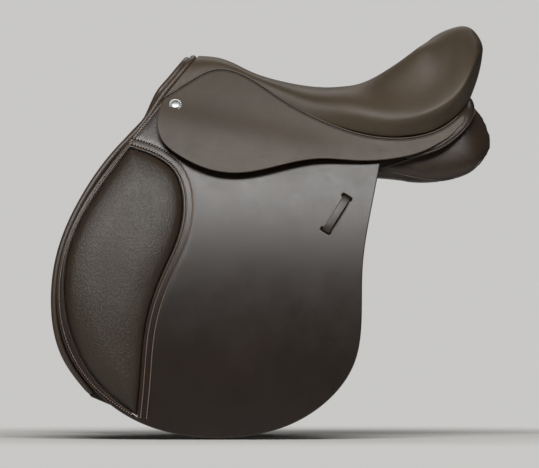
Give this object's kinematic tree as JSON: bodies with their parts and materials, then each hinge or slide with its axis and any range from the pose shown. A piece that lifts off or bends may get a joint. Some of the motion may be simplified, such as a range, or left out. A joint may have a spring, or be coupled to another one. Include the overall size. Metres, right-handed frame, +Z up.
{
  "type": "english riding saddle",
  "caption": "English riding saddle: dipped seat on a tree, side flaps with padded knee inserts, skirts over stirrup bars, girth straps and padded panels.",
  "frame": {"origin": "middle plane, where the panels lie on the horse's back under the deepest seat point", "axes": "+X back from pommel to cantle, +Z up, the near (left) side of the horse at -Y"},
  "size_m": [0.6471, 0.4408, 0.605],
  "materials": {
    "beech_laminate": "matt laminated beech",
    "steel": "plain steel",
    "nickel": "satin nickel",
    "webbing": "woven flax webbing",
    "foam": "moulded foam and flock",
    "seat_leather": "smooth calf leather, satin",
    "flap_leather": "smooth bridle leather, waxed",
    "grained_leather": "fine grained, matt",
    "panel_leather": "soft panel leather, satin",
    "strap_leather": "strap leather, waxed"
  },
  "bodies": {
    "tree_and_seat": {"cantle_facing": "panel_leather", "cross_webs": "webbing", "far_badge": "nickel", "far_bar_rivets": "steel", "far_buckle_guard": "strap_leather", "far_catch_pin": "steel", "far_flap_upper": "flap_leather", "far_front_roll": "panel_leather", "far_girth_web": "webbing", "far_gusset": "panel_leather", "far_knee_pad_upper": "grained_leather", "far_panel": "panel_leather", "far_point_pocket": "strap_leather", "far_skirt": "seat_leather", "far_skirt_welt": "seat_leather", "far_stirrup_bar": "steel", "far_sweat_flap": "panel_leather", "flap_arch_roll": "flap_leather", "gullet_plate": "steel", "lengthwise_web": "webbing", "near_badge": "nickel", "near_bar_rivets": "steel", "near_buckle_guard": "strap_leather", "near_catch_pin": "steel", "near_flap_upper": "flap_leather", "near_front_roll": "panel_leather", "near_girth_web": "webbing", "near_gusset": "panel_leather", "near_knee_pad_upper": "grained_leather", "near_panel": "panel_leather", "near_point_pocket": "strap_leather", "near_skirt": "seat_leather", "near_skirt_welt": "seat_leather", "near_stirrup_bar": "steel", "near_sweat_flap": "panel_leather", "panel_arch_roll": "panel_leather", "panel_bridge": "panel_leather", "plate_rivets": "steel", "seat_cover": "seat_leather", "seat_foam": "foam", "tree": "beech_laminate", "tree_nails": "steel"},
    "near_flap_body": {"near_flap": "flap_leather", "near_knee_pad": "grained_leather", "near_keeper": "strap_leather"},
    "near_lobe_body": {"near_skirt_lobe": "seat_leather"},
    "near_catch_body": {"near_stirrup_catch": "steel"},
    "near_front_billet_body": {"near_front_billet": "strap_leather"},
    "near_middle_billet_body": {"near_middle_billet": "strap_leather"},
    "near_rear_billet_body": {"near_rear_billet": "strap_leather"},
    "far_flap_body": {"far_flap": "flap_leather", "far_knee_pad": "grained_leather", "far_keeper": "strap_leather"},
    "far_lobe_body": {"far_skirt_lobe": "seat_leather"},
    "far_catch_body": {"far_stirrup_catch": "steel"},
    "far_front_billet_body": {"far_front_billet": "strap_leather"},
    "far_middle_billet_body": {"far_middle_billet": "strap_leather"},
    "far_rear_billet_body": {"far_rear_billet": "strap_leather"}
  },
  "joints": [
    {"name": "near_flap_hinge", "type": "hinge", "parent": "tree_and_seat", "child": "near_flap_body", "pos_m": [-0.16, -0.13163, -0.05], "axis": [-1, 0, 0], "range_deg": [0, 80]},
    {"name": "near_lobe_hinge", "type": "hinge", "parent": "tree_and_seat", "child": "near_lobe_body", "pos_m": [-0.262, -0.09361, 0.052], "axis": [-0.9721, 0.1126, 0.206], "range_deg": [0, 60]},
    {"name": "near_catch_hinge", "type": "hinge", "parent": "tree_and_seat", "child": "near_catch_body", "pos_m": [-0.16, -0.09707, 0.02], "axis": [0, -0.8739, 0.4861], "range_deg": [0, 85]},
    {"name": "near_front_billet_swing", "type": "hinge", "parent": "tree_and_seat", "child": "near_front_billet_body", "pos_m": [-0.112, -0.08669, 0.015], "axis": [0, 1, 0], "range_deg": [-7, 7]},
    {"name": "near_middle_billet_swing", "type": "hinge", "parent": "tree_and_seat", "child": "near_middle_billet_body", "pos_m": [-0.074, -0.08211, 0.015], "axis": [0, 1, 0], "range_deg": [-7, 7]},
    {"name": "near_rear_billet_swing", "type": "hinge", "parent": "tree_and_seat", "child": "near_rear_billet_body", "pos_m": [-0.036, -0.07752, 0.015], "axis": [0, 1, 0], "range_deg": [-7, 7]},
    {"name": "far_flap_hinge", "type": "hinge", "parent": "tree_and_seat", "child": "far_flap_body", "pos_m": [-0.16, 0.13163, -0.05], "axis": [1, 0, 0], "range_deg": [0, 80]},
    {"name": "far_lobe_hinge", "type": "hinge", "parent": "tree_and_seat", "child": "far_lobe_body", "pos_m": [-0.262, 0.09361, 0.052], "axis": [0.9721, 0.1126, -0.206], "range_deg": [0, 60]},
    {"name": "far_catch_hinge", "type": "hinge", "parent": "tree_and_seat", "child": "far_catch_body", "pos_m": [-0.16, 0.09707, 0.02], "axis": [0, -0.8739, -0.4861], "range_deg": [0, 85]},
    {"name": "far_front_billet_swing", "type": "hinge", "parent": "tree_and_seat", "child": "far_front_billet_body", "pos_m": [-0.112, 0.08669, 0.015], "axis": [0, 1, 0], "range_deg": [-7, 7]},
    {"name": "far_middle_billet_swing", "type": "hinge", "parent": "tree_and_seat", "child": "far_middle_billet_body", "pos_m": [-0.074, 0.08211, 0.015], "axis": [0, 1, 0], "range_deg": [-7, 7]},
    {"name": "far_rear_billet_swing", "type": "hinge", "parent": "tree_and_seat", "child": "far_rear_billet_body", "pos_m": [-0.036, 0.07752, 0.015], "axis": [0, 1, 0], "range_deg": [-7, 7]}
  ]
}
